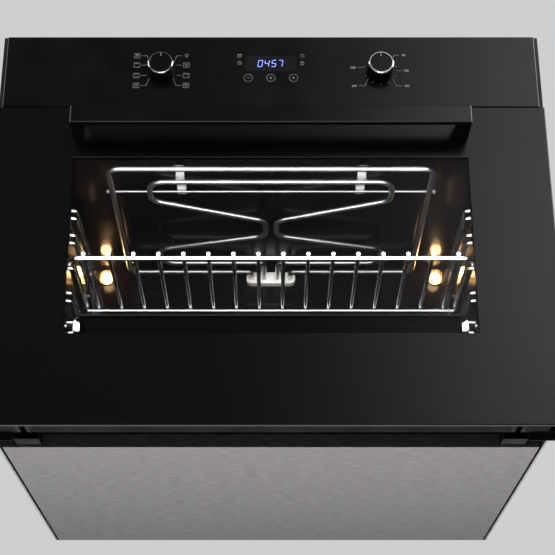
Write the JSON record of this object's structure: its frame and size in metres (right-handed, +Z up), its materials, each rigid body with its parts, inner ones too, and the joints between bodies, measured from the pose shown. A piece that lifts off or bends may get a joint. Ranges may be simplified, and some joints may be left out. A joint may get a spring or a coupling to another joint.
{
  "type": "built-in oven",
  "caption": "Compact built-in electric oven with black glass drop-down door, bar handle, two dials, clock display, top grill element, wire shelf, tray and convection fan.",
  "frame": {"origin": "middle of the oven's bounding box at the underside of the base plate, on the closed oven", "axes": "+X to the right of someone facing the door, +Y to the back, +Z up"},
  "size_m": [0.595, 0.568, 0.457],
  "materials": {
    "brushed_base": "brushed, grain across the width",
    "casing_steel": "galvanised sheet",
    "black_frame": "satin black",
    "cavity_enamel": "glossy black enamel",
    "black_glass": "glossy black printed glass",
    "clear_glass": "clear heat-reflecting glass",
    "chrome_wire": "polished chrome plating",
    "element_steel": "bright drawn tube",
    "white_ceramic": "matt steatite",
    "lamp_glass": "clear lamp cap",
    "lamp_filament": "warm glowing bulb",
    "seal_rubber": "silicone",
    "mineral_wool": "felted wool",
    "black_plastic": "fine grain",
    "knob_black": "satin black",
    "display_black": "dark filter",
    "circuit_board": "solder mask",
    "handle_black": "satin black",
    "door_aluminium": "black anodised",
    "motor_steel": "plain sheet and laminations",
    "hinge_steel": "zinc plated",
    "screw_steel": "zinc plated",
    "fan_steel": "plain sheet"
  },
  "bodies": {
    "chassis": {"back_panel": "casing_steel", "baking_tray": "cavity_enamel", "base_plate": "brushed_base", "bottom_element": "element_steel", "cable_gland": "black_plastic", "cavity_back_wall": "cavity_enamel", "cavity_ceiling": "cavity_enamel", "cavity_floor": "cavity_enamel", "cavity_front_frame": "cavity_enamel", "cavity_side_walls": "cavity_enamel", "control_board": "circuit_board", "control_panel_carrier": "black_plastic", "control_panel_glass": "black_glass", "convection_motor": "motor_steel", "cooling_fan_housing": "casing_steel", "cooling_fan_motor": "motor_steel", "display_module": "display_black", "door_seal": "seal_rubber", "element_hangers": "element_steel", "element_mount_block": "white_ceramic", "element_support_rod": "element_steel", "fan_cover": "cavity_enamel", "function_switch": "black_plastic", "hinge_brackets": "black_frame", "insulation": "mineral_wool", "lamp_bulbs": "lamp_filament", "lamp_domes": "lamp_glass", "lamp_holders": "white_ceramic", "left_side_rack": "chrome_wire", "mounting_flange": "black_frame", "rear_cover": "casing_steel", "right_side_rack": "chrome_wire", "ring_element": "element_steel", "side_panels": "casing_steel", "telescopic_rails": "chrome_wire", "terminal_box": "black_plastic", "thermostat": "motor_steel", "top_cover": "casing_steel", "top_element_inner": "element_steel", "top_element_outer": "element_steel", "wire_shelf": "chrome_wire"},
    "door": {"door_outer_glass": "black_glass", "door_middle_glass": "clear_glass", "door_inner_glass": "clear_glass", "door_side_profiles": "door_aluminium", "door_lower_rail": "door_aluminium", "door_upper_trim": "door_aluminium", "handle_bar": "handle_black", "handle_supports": "handle_black", "handle_screws": "screw_steel", "hinge_cases": "black_frame", "hinge_pins": "hinge_steel"},
    "function_dial": {"function_knob": "knob_black", "function_knob_ring": "chrome_wire", "function_spindle": "hinge_steel"},
    "temperature_dial": {"temperature_knob": "knob_black", "temperature_knob_ring": "chrome_wire", "temperature_spindle": "hinge_steel"},
    "convection_fan": {"convection_fan_wheel": "fan_steel"},
    "cooling_fan": {"cooling_fan_wheel": "fan_steel"}
  },
  "joints": [
    {"name": "door_hinge", "type": "hinge", "parent": "chassis", "child": "door", "pos_m": [0, -0.226, 0.018], "axis": [1, 0, 0], "range_deg": [0, 90], "stiffness_Nm_per_rad": 6, "springref_deg": -20.05},
    {"name": "function_knob_turn", "type": "hinge", "parent": "chassis", "child": "function_dial", "pos_m": [-0.1207, -0.241, 0.4128], "axis": [0, 1, 0], "continuous": true},
    {"name": "temperature_knob_turn", "type": "hinge", "parent": "chassis", "child": "temperature_dial", "pos_m": [0.1207, -0.241, 0.4128], "axis": [0, 1, 0], "range_deg": [0, 270]},
    {"name": "convection_fan_spin", "type": "hinge", "parent": "chassis", "child": "convection_fan", "pos_m": [0, 0.165, 0.2085], "axis": [0, 1, 0], "continuous": true},
    {"name": "cooling_fan_spin", "type": "hinge", "parent": "chassis", "child": "cooling_fan", "pos_m": [0, 0.075, 0.378], "axis": [0, 0, 1], "continuous": true}
  ]
}
